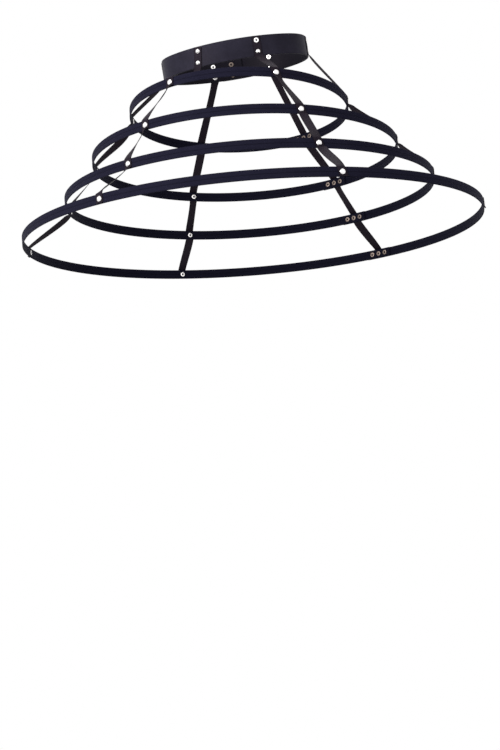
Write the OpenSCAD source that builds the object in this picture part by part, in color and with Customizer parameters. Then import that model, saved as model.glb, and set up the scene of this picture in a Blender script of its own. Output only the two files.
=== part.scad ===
// Short cage crinoline: a waistband, four boned hoops and six straps, held by rivets.
// Front is -Y, up is +Z, and the lower edge of the bottom hoop lies on Z = 0.
// Azimuths run from the front towards +X. Lengths are in millimetres, angles in degrees.

/* [Hoops] */
// Mid-line diameter of the top hoop
hoop_1_d = 361; // [300:1:400]
// Mid-line diameter of the second hoop
hoop_2_d = 506; // [430:1:560]
// Mid-line diameter of the third hoop
hoop_3_d = 612; // [560:1:680]
// Mid-line diameter of the bottom hoop
hoop_4_d = 764; // [700:1:900]
// Height of the top hoop above the bottom one, centre to centre
hoop_1_rise = 196; // [175:1:215]
// Height of the second hoop above the bottom one
hoop_2_rise = 122; // [105:1:140]
// Height of the third hoop above the bottom one
hoop_3_rise = 60; // [45:1:75]

/* [Lean of the hoops] */
// Sideways shift of the top hoop, towards +X
lean_x = -5.5; // [-20:0.5:20]
// Shift of the top hoop towards the back
lean_y = -20; // [-30:0.5:20]
// Tilt of the top hoop about X, back side up
lean_pitch_angle = -5.6; // [-8:0.1:8]
// Tilt of the top hoop about Y, left side up
lean_roll_angle = 1.5; // [-6:0.1:6]
// How fast the lean fades towards the bottom hoop
lean_power = 1.5; // [1:0.1:2]

/* [Hoop tape] */
// Height of the woven tape that cases a hoop
tape_h = 16; // [15:0.5:24]
// Thickness of the cased hoop
tape_t = 2.4; // [2:0.1:3.2]
// Bevel along the tape's edges
tape_edge = 0.8; // [0.4:0.1:0.9]
// Width of the valley along the middle of each face
valley_w = 1.6; // [1:0.1:2.4]
// Depth of that valley
valley_depth = 0.4; // [0.2:0.05:0.6]
// Length over which a hoop's two ends lap
lap_len = 48; // [42:1:60]
// Air between the two lapped ends
lap_gap = 0.1; // [0.05:0.05:0.3]

/* [Hoop bones] */
// Height of one flat spring bone
bone_h = 4.8; // [4:0.1:5]
// Thickness of a bone
bone_t = 0.8; // [0.5:0.1:1]
// Distance between the upper and the lower bone
bone_spacing = 4.4; // [4.2:0.1:4.8]
// Air between a bone and its pocket in the tape
bone_clearance = 0.12; // [0.05:0.01:0.2]
// Distance from a tape's end to the end of its bones
bone_end_gap = 4; // [2:0.5:8]

/* [Waistband] */
// Mid-line width of the worn band, side to side
band_w = 242; // [210:1:260]
// Mid-line depth of the worn band, front to back
band_d = 189; // [170:1:205]
// Height of the band
band_h = 34; // [30:0.5:40]
// Thickness of the band
band_t = 2.2; // [1.5:0.1:3]
// Bevel along the band's edges
band_edge = 0.6; // [0.3:0.1:0.7]
// Height of the band's centre above the centre of the bottom hoop
band_rise = 284; // [275:1:305]
// Sideways shift of the band, towards +X
band_x = -3.5; // [-15:0.5:15]
// Shift of the band towards the back
band_y = -27; // [-35:0.5:10]
// Tilt of the band about X, back side up
band_pitch_angle = 7; // [-8:0.1:8]
// Tilt of the band about Y, left side up
band_roll_angle = -4; // [-6:0.1:6]
// Length over which the band's ends lap at the back
band_lap_len = 36; // [24:1:38]
// Half angle of the band's flatter front and back arcs
band_flat_angle = 45; // [40:1:50]
// Direction that a front strap faces on the band, and a back strap away from the back
band_strap_angle = 20.5; // [18:0.5:24]

/* [Straps] */
// Width of a strap
strap_w = 14; // [11:0.5:15]
// Thickness of a strap
strap_t = 0.8; // [0.6:0.1:1.5]
// Air between a strap and what it lies on
strap_gap = 0.05; // [0.02:0.01:0.2]
// Length over which a strap curves away below a rivet
leave_reach = 5; // [4:0.5:10]
// Length over which a strap turns down over a hoop's upper edge
arrive_reach = 2.5; // [2:0.5:6]
// Distance from the cut ends of a strap to the edge they stop at
strap_end_gap = 1; // [0.6:0.1:2]
// How far the cut lower end stands off its hoop
end_curl = 1.8; // [0.4:0.1:2.4]
// Largest turn of a strap between two rings
strap_twist_angle = 50; // [0:1:60]
// How far the slack strap hangs below a straight line, between the band and the top hoop
slack_sag = 12; // [0:0.5:14]
// Lean of the slack strap on the band, its foot outwards
slack_lean_angle = 9; // [0:1:12]
// Lean of the two taut straps on the hoops, their lower ends towards the sides
taut_lean_angle = 18; // [0:1:22]

/* [Rivets] */
// Diameter of a domed cap on a hoop
cap_d = 9; // [7:0.5:9.5]
// Diameter of a domed cap on the band
band_cap_d = 7.5; // [6.5:0.5:9.5]
// Height of a cap
cap_h = 2.4; // [1.8:0.1:3]
// Height of the straight rim under the dome
cap_rim = 0.5; // [0.3:0.1:0.8]
// Diameter of the hollow post
post_d = 3; // [2.4:0.1:3.2]
// Diameter of the post's open centre
post_bore_d = 2.1; // [1.4:0.1:2.2]
// Diameter to which the open centre flares in the flange
mouth_d = 3.6; // [2.6:0.1:4]
// Diameter of the post's flange
flange_d = 8; // [6:0.5:8.5]
// Thickness of that flange
flange_t = 0.7; // [0.5:0.1:1]
// How far a post reaches into its cap
post_reach = 1.3; // [1:0.1:1.5]
// Air around a post, in every hole and in its cap
post_clearance = 0.08; // [0.04:0.01:0.15]
// Air under a cap and under a flange
seat_gap = 0.03; // [0.01:0.01:0.1]
// Distance between the three rivets of a lap
lap_rivet_pitch = 13.4; // [11.9:0.1:14]
// Distance between the two rivets on the band, one above the other
band_rivet_pitch = 18.5; // [14:0.5:20]

/* [Hidden] */
$fn = 96;

// Extra length of a cutting tool past the face it cuts
overrun = 1;
// Steps along one free span of a strap
span_steps = 16;
// Hoop that a strap ends on, and number of the last strap
last_hoop = 4;
last_strap = 5;

// Directions of a front, a side and a back strap, from the band down to the bottom hoop
ring_strap_angles = [
    [band_strap_angle, 90, 180 - band_strap_angle],
    [28, 90, 150],
    [29, 90, 150],
    [29, 90, 150.8],
    [29, 90, 151.6]
];
// Strap that covers the lap of every hoop
lap_strap = 2;
// Strap whose upper rivet on the band is set the other way round, with its hollow post outside
turned_strap = 0;
// Strap that hangs slack between the band and the top hoop
slack_strap = 5;
// Front strap and back strap that run straight over the hoops
taut_straps = [0, 2];
// Strap that is limp below one hoop, and its share of the slack strap's sag
limp_strap = 4;
limp_ring = 1;
limp_share = 0.45;
// Turn of each strap in its four free spans, as a share of strap_twist_angle
turn_shares = [
    [0.2, -0.45, 0.25, 0.5],
    [-0.2, -0.5, -0.4, 0],
    [0.2, -0.3, 0.2, -0.5],
    [-0.3, 0.2, -0.3, 0.2],
    [0.2, 0.6, -0.4, 0.42],
    [0, 0.7, 0.72, 0.46]
];
// Share of each span after which that turn fades
hold_shares = [
    [0.3, 0.2, 0.4, 0.5],
    [0.3, 0.4, 0.4, 0.3],
    [0.3, 0.3, 0.3, 0.3],
    [0.3, 0.3, 0.3, 0.3],
    [0.3, 0.3, 0.25, 0.3],
    [0.5, 0.3, 0.3, 0.75]
];
// Share of a span over which a strap takes up its turn
rise_share = 0.2;
// Makes the deepest point of a sag, at a third of the span, as deep as it is stated
sag_factor = 729 / 16;
// Share of a span over which a leaning strap's section turns square to its course
square_share = 0.4;

hoop_ds = [0, hoop_1_d, hoop_2_d, hoop_3_d, hoop_4_d];
hoop_rises = [0, hoop_1_rise, hoop_2_rise, hoop_3_rise, 0];
lap_step = tape_t + lap_gap;
band_lap_step = band_t + lap_gap;

// Colours of the finished pieces
tape_colour = [0.13, 0.12, 0.16];
strap_colour = [0.24, 0.21, 0.23];
band_colour = [0.18, 0.17, 0.22];
steel_colour = [0.55, 0.57, 0.6];
nickel_colour = [0.82, 0.82, 0.84];

// Direction in the plane of a ring that faces an azimuth
function facing(angle) = [sin(angle), -cos(angle)];
// Angle that a length takes on an arc
function arc_angle(length, radius) = length / radius * 180 / PI;
function unit(v) = v / norm(v);
// A point in the plane, turned about the origin
function spin(p, a) = [p.x * cos(a) - p.y * sin(a), p.x * sin(a) + p.y * cos(a)];

// A strip is a list of arcs [centre, radius, azimuth, sweep]. The arcs run on from each other, and
// each is drawn from its azimuth. The first one sweeps back from its far end to the strip's start.
// Each hoop grows by one lap step in a turn, so that its last arc lies over its first.
function hoop_arcs(k) =
    let (radius = hoop_ds[k] / 2)
    [
        [[0, 0], radius, 180, -180],
        [facing(0) * lap_step / 2, radius + lap_step / 2, 180, 180],
        [[0, 0], radius + lap_step, 360, arc_angle(lap_len, radius)]
    ];

// The band is an oval of four arcs. Its second half is deeper by one lap step.
function band_arcs() =
    let (a = band_flat_angle, spread = (band_w - band_d) / 2 / (sin(a) + cos(a) - 1))
    let (side = band_w / 2 - spread * sin(a), flat = side + spread, back = spread * cos(a))
    let (growth = band_lap_step / 2 / cos(a), grown = spread - growth)
    [
        [[0, back], flat, a, -a],
        [[spread * sin(a), 0], side, a, 180 - 2 * a],
        [[0, -back], flat, 180 - a, 2 * a],
        [[-grown * sin(a), grown * cos(a) - back], side + growth, 180 + a, 180 - 2 * a],
        [[0, back - band_lap_step], flat, 360 - a, a],
        [[0, back], flat + band_lap_step, 360, arc_angle(band_lap_len, flat)]
    ];

// Rings count from 0, the band, to 4, the bottom hoop.
function ring_arcs(k) = k == 0 ? band_arcs() : hoop_arcs(k);
function ring_t(k) = k == 0 ? band_t : tape_t;
// Straps count from 0, the right front one, round the back to 5, the left front one.
function strap_angle(k, j) = j < 3 ? ring_strap_angles[k][j] : -ring_strap_angles[k][5 - j];
// Azimuth where a ring's strip starts: the band's at the back, a hoop's half a lap before its lap strap
function ring_start(k) =
    k == 0 ? 180 : strap_angle(k, lap_strap) - arc_angle(lap_len, hoop_ds[k] / 2) / 2;

// The outermost arc of a ring at an azimuth
function outer_arc(k, angle) =
    let (arcs = ring_arcs(k), lap = arcs[len(arcs) - 1][3], local = angle - ring_start(k))
    let (turned = local + 360 * ceil((lap - local) / 360))
    let (hits = [for (a = arcs) if (a[2] + min(a[3], 0) <= turned) a])
    hits[len(hits) - 1];

// Arcs of a strip whose two ends are cut back by a length
function cut_back(arcs, length) = [
    for (i = [0 : len(arcs) - 1])
        let (a = arcs[i], cut = arc_angle(length, a[1]))
        let (change = i == 0 ? cut : i == len(arcs) - 1 ? -cut : 0)
        [a[0], a[1], a[2], a[3] + change]
];

// Where a ring's own centre goes, and how the ring tilts about X and Y
function lean_share(k) = pow(hoop_rises[k] / hoop_1_rise, lean_power);
function ring_centre(k) =
    k == 0 ? [band_x, band_y, band_rise + tape_h / 2]
    : [lean_x * lean_share(k), lean_y * lean_share(k), hoop_rises[k] + tape_h / 2];
function ring_tilt(k) =
    k == 0 ? [band_pitch_angle, band_roll_angle, 0]
    : [lean_pitch_angle * lean_share(k), lean_roll_angle * lean_share(k), 0];

// The same turns for vectors: about X, then about Y
function tilt_x(v, a) = [v.x, v.y * cos(a) - v.z * sin(a), v.y * sin(a) + v.z * cos(a)];
function tilt_y(v, a) = [v.x * cos(a) + v.z * sin(a), v.y, v.z * cos(a) - v.x * sin(a)];
function ring_vector(k, v) = tilt_y(tilt_x(v, ring_tilt(k).x), ring_tilt(k).y);

// Sideways shift of a strap for each step up a ring. A leaning strap follows the band's curve, because
// its two rivets do, and lies flat on a hoop, where one rivet holds it.
function strap_slope(k, j) =
    k == 0 && j == slack_strap ? tan(slack_lean_angle)
    : k > 0 && j == taut_straps[0] ? -tan(taut_lean_angle)
    : k > 0 && j == taut_straps[1] ? tan(taut_lean_angle)
    : 0;
function strap_azimuth(k, j, z) =
    let (angle = strap_angle(k, j))
    k == 0 ? angle + arc_angle(z * strap_slope(k, j), outer_arc(k, angle)[1]) : angle;
function strap_shift(k, j, z) = k == 0 ? 0 : z * strap_slope(k, j);
// Directions along a ring and up it at a strap, and a strap's own course down the ring
function ring_along(k, j, z) =
    let (angle = strap_azimuth(k, j, z))
    ring_vector(k, [cos(angle), sin(angle), 0]);
function ring_up(k) = ring_vector(k, [0, 0, 1]);
function strap_course(k, j) = -unit(ring_up(k) + ring_along(k, j, 0) * strap_slope(k, j));
// A point under a strap's centre line, at a distance from the ring's outer face
function ring_point(k, j, out, z) =
    let (angle = strap_azimuth(k, j, z), arc = outer_arc(k, strap_angle(k, j)))
    let (flat = spin(arc[0], ring_start(k)) + facing(angle) * (arc[1] + ring_t(k) / 2 + out))
    ring_centre(k) + ring_vector(k, [flat.x, flat.y, z]) + ring_along(k, j, z) * strap_shift(k, j, z);

// Heights on a ring where a strap arrives and where it leaves
strap_out = strap_gap + strap_t / 2;
rivet_foot = cap_d / 2 + strap_end_gap;
function strap_top(k) = k == 0 ? band_h / 2 - strap_end_gap : tape_h / 2;
function strap_foot(k) = k == 0 ? -band_rivet_pitch / 2 - rivet_foot : -rivet_foot;

// A station of a strap is [centre, direction along the width, direction out]. With square = 1 its section
// lies square to the course, and with square = 0 along the ring, where a leaning strap's section is longer.
function station(centre, course, along, square, twist, lift) =
    let (raw = unit(along - course * (along * course) * square), side = raw / norm(cross(raw, course)))
    let (out = unit(cross(course, side)))
    [centre + out * lift, side * cos(twist) + out * sin(twist), out * cos(twist) - unit(side) * sin(twist)];

// The stretch of strap that lies on a ring
function seat(k, j) = [
    for (z = [strap_top(k), strap_foot(k)])
        station(ring_point(k, j, strap_out, z), strap_course(k, j), ring_along(k, j, z), k == 0 ? 1 : 0, 0, 0)
];

// A point and a course on a cubic curve with four control points, which sags by a vector
function curve_point(c, s, sag) =
    c[0] * pow(1 - s, 3) + c[1] * 3 * pow(1 - s, 2) * s + c[2] * 3 * (1 - s) * s * s + c[3] * pow(s, 3)
    + sag * sag_factor * s * s * pow(1 - s, 4);
function curve_course(c, s, sag) =
    unit(
        (c[1] - c[0]) * 3 * pow(1 - s, 2) + (c[2] - c[1]) * 6 * (1 - s) * s + (c[3] - c[2]) * 3 * s * s
        + sag * sag_factor * 2 * s * pow(1 - s, 3) * (1 - 3 * s)
    );
// A smooth rise from 0 to 1
function ease(s) = let (c = max(0, min(1, s))) c * c * (3 - 2 * c);
// A strap takes up its turn just below a ring, holds it, and lies flat again on the next one
function twist(k, j, s) =
    let (hold = hold_shares[j][k])
    strap_twist_angle * turn_shares[j][k] * ease(s / rise_share) * (1 - ease((s - hold) / (1 - hold)));
// Near a ring it lifts as it turns, so that its inner edge stays clear of the ring
function twist_lift(k, j, s) = strap_w / 2 * abs(sin(twist(k, j, s))) * (pow(1 - s, 6) + pow(s, 3));

// Share of the sag that a strap has below a ring
function sag_share(k, j) =
    k == 0 && j == slack_strap ? 1
    : k == limp_ring && j == limp_strap ? limp_share
    : 0;

// The free stretch from a ring to the next one below
function span(k, j) =
    let (start = ring_point(k, j, strap_out, strap_foot(k)))
    let (stop = ring_point(k + 1, j, strap_out, strap_top(k + 1)))
    let (leave = strap_course(k, j) * leave_reach, arrive = strap_course(k + 1, j) * arrive_reach)
    let (curve = [start, start + leave, stop - arrive, stop])
    let (sag = [0, 0, -slack_sag * sag_share(k, j)])
    let (along_start = ring_along(k, j, strap_foot(k)))
    let (along_stop = ring_along(k + 1, j, strap_top(k + 1)))
    [
        for (i = [1 : span_steps - 1])
            let (s = i / span_steps)
            let (along = along_start * (1 - s) + along_stop * s)
            let (square = (k == 0 ? 1 : ease(s / square_share)) * ease((1 - s) / square_share))
            let (turn = twist(k, j, s), lift = twist_lift(k, j, s))
            station(curve_point(curve, s, sag), curve_course(curve, s, sag), along, square, turn, lift)
    ];

// The cut end below the last rivet, which stands off the hoop a little
function cut_end(j) =
    let (stop = ring_point(last_hoop, j, strap_out + end_curl, strap_end_gap - tape_h / 2))
    [station(stop, strap_course(last_hoop, j), ring_along(last_hoop, j, 0), 0, 0, 0)];

function strap_stations(j) = [
    for (k = [0 : last_hoop], s = concat(seat(k, j), k < last_hoop ? span(k, j) : cut_end(j))) s
];

// Sets a ring's own frame in place, with its strip's start at azimuth 0
module on_ring(k) {
    translate(ring_centre(k)) rotate(ring_tilt(k)) rotate(ring_start(k)) children();
}

// Sweeps a section, drawn about the mid-line, along a strip's arcs
module strip(arcs) {
    for (a = arcs)
        translate([a[0].x, a[0].y, 0])
            rotate(a[2] - 90)
                rotate_extrude(angle = a[3])
                    translate([a[1], 0]) children();
}

// Puts a rivet's axis through a ring, with Z = 0 on the ring's outer face
module at_face(k, angle, along, z) {
    arc = outer_arc(k, angle);
    turn = angle - ring_start(k) + arc_angle(along, arc[1]);
    on_ring(k)
        translate([arc[0].x, arc[0].y, z])
            rotate(turn)
                translate([0, -arc[1] - ring_t(k) / 2, 0])
                    rotate([90, 0, 0]) children();
}

// Every rivet of a ring is placed by [azimuth, offset along, height, layers of tape, straps, turned round].
band_rivet_heights = [-band_rivet_pitch / 2, band_rivet_pitch / 2];
function band_rivets() =
    let (lap_middle = 180 + arc_angle(band_lap_len / 2, band_arcs()[0][1]))
    concat(
        [
            for (j = [0 : last_strap], z = band_rivet_heights)
                [strap_angle(0, j), z * strap_slope(0, j), z, 1, 1, j == turned_strap && z > 0]
        ],
        [for (z = band_rivet_heights) [lap_middle, 0, z, 2, 0, false]]
    );
function hoop_rivets(k) =
    concat(
        [for (j = [0 : last_strap]) [strap_angle(k, j), 0, 0, j == lap_strap ? 2 : 1, 1, false]],
        [
            for (along = [-lap_rivet_pitch, lap_rivet_pitch])
                [strap_angle(k, lap_strap), along, 0, 2, 0, false]
        ]
    );
function ring_rivets(k) = k == 0 ? band_rivets() : hoop_rivets(k);
function ring_cap_d(k) = k == 0 ? band_cap_d : cap_d;

// How deep a flat seat sinks before its rim meets the ring's hollow inner face
function hollow_sink(k, angle, seat_d) =
    let (radius = outer_arc(k, angle)[1] - ring_t(k) * 2)
    radius - sqrt(radius * radius - seat_d * seat_d / 4) + seat_gap;
// Depth of the inner seat below the ring's outer face, and height of the outer seat above it
function inner_seat(k, rivet) =
    let (seat_d = rivet[5] ? ring_cap_d(k) : flange_d)
    rivet[3] * ring_t(k) + (rivet[3] - 1) * lap_gap + hollow_sink(k, rivet[0], seat_d);
function outer_seat(rivet) = rivet[4] * (strap_gap + strap_t) + seat_gap;

module rivet_cap(rim_d) {
    dome_h = cap_h - cap_rim;
    dome_r = (rim_d * rim_d / 4 + dome_h * dome_h) / 2 / dome_h;
    color(nickel_colour)
        difference() {
            union() {
                cylinder(h = cap_rim, d = rim_d);
                translate([0, 0, cap_rim])
                    intersection() {
                        translate([0, 0, dome_h - dome_r]) sphere(r = dome_r);
                        cylinder(h = dome_h, d = rim_d);
                    }
            }
            translate([0, 0, -overrun])
                cylinder(h = overrun + post_reach + post_clearance, d = post_d + 2 * post_clearance);
        }
}

// The post runs from z = 0, its flange's seat, up to a length. Its open centre flares in the flange.
module rivet_post(length) {
    color(nickel_colour)
        difference() {
            union() {
                translate([0, 0, -flange_t]) cylinder(h = flange_t, d = flange_d);
                cylinder(h = length, d = post_d);
            }
            translate([0, 0, -flange_t - overrun])
                cylinder(h = flange_t + overrun + length / 2, d = post_bore_d);
            translate([0, 0, -flange_t - overrun]) cylinder(h = overrun, d = mouth_d);
            translate([0, 0, -flange_t]) cylinder(h = flange_t, d1 = mouth_d, d2 = post_bore_d);
        }
}

// Sets a piece on a rivet's outer seat, or on its inner seat and turned round
module on_seat(k, rivet, outside) {
    at_face(k, rivet[0], rivet[1], rivet[2])
        translate([0, 0, outside ? outer_seat(rivet) : -inner_seat(k, rivet)])
            rotate([outside ? 0 : 180, 0, 0]) children();
}

module ring_rivet_caps(k) {
    for (r = ring_rivets(k)) on_seat(k, r, !r[5]) rivet_cap(ring_cap_d(k));
}

// A post's flange faces away from the cap on the other side
module ring_rivet_posts(k) {
    for (r = ring_rivets(k))
        on_seat(k, r, r[5])
            rotate([180, 0, 0]) rivet_post(inner_seat(k, r) + outer_seat(r) + post_reach);
}

// Holes for a ring's posts, through everything that the rivets hold
module post_holes(k) {
    for (r = ring_rivets(k))
        at_face(k, r[0], r[1], r[2])
            translate([0, 0, -inner_seat(k, r) - overrun])
                cylinder(h = inner_seat(k, r) + outer_seat(r) + 2 * overrun, d = post_d + 2 * post_clearance);
}

// Section of a hoop's tape: bevelled edges, a valley along each face and two pockets for the bones
module tape_section() {
    half = [
        [tape_t / 2 - tape_edge, -tape_h / 2], [tape_t / 2, tape_edge - tape_h / 2],
        [tape_t / 2, -valley_w / 2], [tape_t / 2 - valley_depth, -valley_w / 2],
        [tape_t / 2 - valley_depth, valley_w / 2], [tape_t / 2, valley_w / 2],
        [tape_t / 2, tape_h / 2 - tape_edge], [tape_t / 2 - tape_edge, tape_h / 2]
    ];
    difference() {
        polygon(concat(half, [for (p = half) -p]));
        for (side = [-1, 1]) bone_section(side, bone_clearance);
    }
}

module band_section() {
    half = [
        [band_t / 2 - band_edge, -band_h / 2], [band_t / 2, band_edge - band_h / 2],
        [band_t / 2, band_h / 2 - band_edge], [band_t / 2 - band_edge, band_h / 2]
    ];
    polygon(concat(half, [for (p = half) -p]));
}

// Section of one bone, above the middle with side = 1 and below it with side = -1
module bone_section(side, room) {
    translate([0, side * (bone_spacing + bone_h) / 2])
        square([bone_t + 2 * room, bone_h + 2 * room], center = true);
}

module waistband() {
    color(band_colour)
        difference() {
            on_ring(0) strip(band_arcs()) band_section();
            post_holes(0);
        }
}

// The pockets run out through the tape's two cut ends
module hoop_casing(k) {
    color(tape_colour)
        difference() {
            on_ring(k) strip(hoop_arcs(k)) tape_section();
            post_holes(k);
        }
}

module hoop_bone(k, side) {
    color(steel_colour)
        on_ring(k) strip(cut_back(hoop_arcs(k), bone_end_gap)) bone_section(side, 0);
}

// Corners of a strap's section at a station
function section_corners(s) = [
    for (c = [[1, 1], [-1, 1], [-1, -1], [1, -1]])
        s[0] + s[1] * c.x * strap_w / 2 + s[2] * c.y * strap_t / 2
];

module strap(j) {
    stations = strap_stations(j);
    last = len(stations) - 1;
    points = [for (s = stations, c = section_corners(s)) c];
    sides = [
        for (i = [0 : last - 1], c = [0 : 3])
            let (next = (c + 1) % 4)
            let (a = 4 * i + c, b = 4 * i + next)
            each [[a, a + 4, b + 4], [a, b + 4, b]]
    ];
    ends = [[0, 1, 2, 3], [4 * last + 3, 4 * last + 2, 4 * last + 1, 4 * last]];
    color(strap_colour)
        difference() {
            polyhedron(points, concat(sides, ends));
            for (k = [0 : last_hoop]) strap_holes(k, j);
        }
}

// The holes of one strap's own rivets on a ring
module strap_holes(k, j) {
    for (z = k == 0 ? band_rivet_heights : [0])
        at_face(k, strap_angle(k, j), z * strap_slope(k, j), z)
            translate([0, 0, -overrun])
                cylinder(h = strap_gap + strap_t + 2 * overrun, d = post_d + 2 * post_clearance);
}

waistband();
ring_rivet_caps(0);  // waistband_rivet_caps
ring_rivet_posts(0);  // waistband_rivet_posts
hoop_casing(1);  // hoop_1_casing
hoop_bone(1, 1);  // hoop_1_upper_bone
hoop_bone(1, -1);  // hoop_1_lower_bone
ring_rivet_caps(1);  // hoop_1_rivet_caps
ring_rivet_posts(1);  // hoop_1_rivet_posts
hoop_casing(2);  // hoop_2_casing
hoop_bone(2, 1);  // hoop_2_upper_bone
hoop_bone(2, -1);  // hoop_2_lower_bone
ring_rivet_caps(2);  // hoop_2_rivet_caps
ring_rivet_posts(2);  // hoop_2_rivet_posts
hoop_casing(3);  // hoop_3_casing
hoop_bone(3, 1);  // hoop_3_upper_bone
hoop_bone(3, -1);  // hoop_3_lower_bone
ring_rivet_caps(3);  // hoop_3_rivet_caps
ring_rivet_posts(3);  // hoop_3_rivet_posts
hoop_casing(4);  // hoop_4_casing
hoop_bone(4, 1);  // hoop_4_upper_bone
hoop_bone(4, -1);  // hoop_4_lower_bone
ring_rivet_caps(4);  // hoop_4_rivet_caps
ring_rivet_posts(4);  // hoop_4_rivet_posts
strap(0);  // strap_front_right
strap(1);  // strap_side_right
strap(2);  // strap_back_right
strap(3);  // strap_back_left
strap(4);  // strap_side_left
strap(5);  // strap_front_left
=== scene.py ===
import math
from collections import namedtuple

import bmesh
import bpy
import numpy as np
from mathutils import Matrix, Vector
from mathutils.kdtree import KDTree


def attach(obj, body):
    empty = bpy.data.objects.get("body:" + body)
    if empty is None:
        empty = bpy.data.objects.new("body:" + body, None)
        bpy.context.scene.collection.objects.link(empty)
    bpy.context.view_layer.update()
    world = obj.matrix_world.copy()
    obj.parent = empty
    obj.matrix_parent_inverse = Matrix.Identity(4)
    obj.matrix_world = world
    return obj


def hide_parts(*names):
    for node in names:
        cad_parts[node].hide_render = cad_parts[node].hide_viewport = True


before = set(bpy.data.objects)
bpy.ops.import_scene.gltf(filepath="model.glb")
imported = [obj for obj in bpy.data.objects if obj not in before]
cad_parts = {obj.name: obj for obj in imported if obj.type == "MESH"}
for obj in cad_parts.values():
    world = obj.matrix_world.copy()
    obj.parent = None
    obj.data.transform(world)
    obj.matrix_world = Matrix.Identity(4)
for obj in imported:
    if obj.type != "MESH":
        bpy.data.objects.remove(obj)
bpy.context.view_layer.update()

MM = 0.001

# An arc of a ring's strip, by azimuths, and a rivet with the layers of tape and the straps that it holds
Arc = namedtuple("Arc", "centre radius first last")
Rivet = namedtuple("Rivet", "angle along z layers straps turned")

# Hoops, by ring number: 0 is the waistband and 4 the bottom hoop
HOOP_D = [0, 361, 506, 612, 764]
HOOP_RISE = [0, 196, 122, 60, 0]
LEAN = (-5.5, -20)
LEAN_PITCH, LEAN_ROLL = -5.6, 1.5
LEAN_POWER = 1.5
LAST_HOOP = 4

# Tape of a hoop and the pockets for its bones
TAPE_H, TAPE_T = 16, 2.4
TAPE_ROUND = 0.9
VALLEY_W, VALLEY_DEPTH = 1.9, 0.42
CROWN = 0.14
LAP_LEN, LAP_GAP = 48, 0.1
BONE_H, BONE_T, BONE_SPACING, BONE_CLEARANCE = 4.8, 0.8, 4.4, 0.12

# Waistband
BAND_W, BAND_D, BAND_H, BAND_T = 242, 189, 34, 2.2
BAND_ROUND = 0.7
BAND_CENTRE = (-3.5, -27, 284)
BAND_PITCH, BAND_ROLL = 7, -4
BAND_LAP_LEN = 36
BAND_FLAT_ANGLE = 45
BAND_STRAP_ANGLE = 20.5

# Straps
STRAP_NAMES = ("front_right", "side_right", "back_right", "back_left", "side_left", "front_left")
# By ring: azimuths of the right-hand straps, which the left-hand ones mirror
STRAP_ANGLES = [
    (BAND_STRAP_ANGLE, 90, 180 - BAND_STRAP_ANGLE),
    (28, 90, 150),
    (29, 90, 150),
    (29, 90, 150.8),
    (29, 90, 151.6),
]
LAP_STRAP = 2
TURNED_STRAP = 0
STRAP_W, STRAP_T, STRAP_GAP = 14, 0.8, 0.05
STRAP_ROUND, STRAP_CROWN = 0.3, 0.04
LEAVE_REACH, ARRIVE_REACH = 5, 2.5
STRAP_END_GAP, END_CURL = 1, 1.8
TWIST_ANGLE = 50
SLACK_STRAP, SLACK_SAG, SLACK_LEAN = 5, 12, 9
TAUT_STRAPS, TAUT_LEAN = (0, 2), 18
LIMP_STRAP, LIMP_RING, LIMP_SHARE = 4, 1, 0.45
# By strap and span: the share of the twist that a strap takes up
TURN_SHARES = [
    (0.2, -0.45, 0.25, 0.5),
    (-0.2, -0.5, -0.4, 0),
    (0.2, -0.3, 0.2, -0.5),
    (-0.3, 0.2, -0.3, 0.2),
    (0.2, 0.6, -0.4, 0.42),
    (0, 0.7, 0.72, 0.46),
]
# By strap and span: where on its way the twist starts to fade
HOLD_SHARES = [
    (0.3, 0.2, 0.4, 0.5),
    (0.3, 0.4, 0.4, 0.3),
    (0.3, 0.3, 0.3, 0.3),
    (0.3, 0.3, 0.3, 0.3),
    (0.3, 0.3, 0.25, 0.3),
    (0.5, 0.3, 0.3, 0.75),
]
# Shares of a span in which a twist builds up, and in which the section turns square to its course
RISE_SHARE, SQUARE_SHARE = 0.2, 0.4
# Powers by which a twisted strap's lift fades below a ring, and grows again above the next
LEAVE_POWER, ARRIVE_POWER = 6, 3
# Brings the peak of the sag's curve to 1
SAG_FACTOR = 729 / 16

# Rivets
CAP_D, BAND_CAP_D, CAP_H, CAP_RIM = 9, 7.5, 2.4, 0.5
POST_D, POST_BORE_D, MOUTH_D = 3, 2.1, 3.6
FLANGE_D, FLANGE_T = 8, 0.7
POST_REACH, POST_CLEARANCE, SEAT_GAP = 1.3, 0.08, 0.03
LAP_RIVET_PITCH, BAND_RIVET_PITCH = 13.4, 18.5
# Rolled rim of a cap, the step inside it, and where the dome meets it
CAP_ROLL, CAP_STEP, DOME_EDGE = 0.25, 0.35, 0.28
CAP_ROLL_TURN = 150
HOLE_OVERRUN = 1
# Grime with painted shade where a roll starts, and its change with each step
CAP_RIM_GRIME_AND_SHADE, MOUTH_GRIME_AND_SHADE, FLANGE_GRIME_AND_SHADE = (0.8, -0.1), (1.0, -0.06), (0.2, 0.1)
# Grime with painted shade at the dome's edge, and the rows in which it fades
DOME_GRIME_AND_SHADE, DOME_GRIME_AND_SHADE_ROWS = 0.5, 2
# Tarnish of what lies on the inside, at a lap and elsewhere
LAP_TARNISH, INNER_TARNISH = 1, 0.2

# How finely strips and rivets are drawn
STRIP_STEP = 2.5
SPAN_STEPS, SEAT_STEPS, END_STEPS = 40, 10, 4
BAND_ROWS, TAPE_ROWS, STRAP_ROWS = 21, 27, 13
CORNER_STEPS, ROLL_STEPS, DOME_ROWS = 4, 5, 12
RIVET_SIDES, HOLE_SIDES = 40, 24
STRIP_SMOOTH, RIVET_SMOOTH = 50, 35
# Points closer than this are joined after a cut
SLIVER = 0.002

RIVET_FOOT = CAP_D / 2 + STRAP_END_GAP
STRAP_OUT = STRAP_GAP + STRAP_T / 2


def facing(angle):
    """Direction in the plane of a ring that faces an azimuth."""
    a = math.radians(angle)
    return np.array([math.sin(a), -math.cos(a)])


def arc_angle(length, radius):
    """Degrees that a length takes up on an arc."""
    return math.degrees(length / radius)


def unit(v):
    return v / np.linalg.norm(v)


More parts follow.
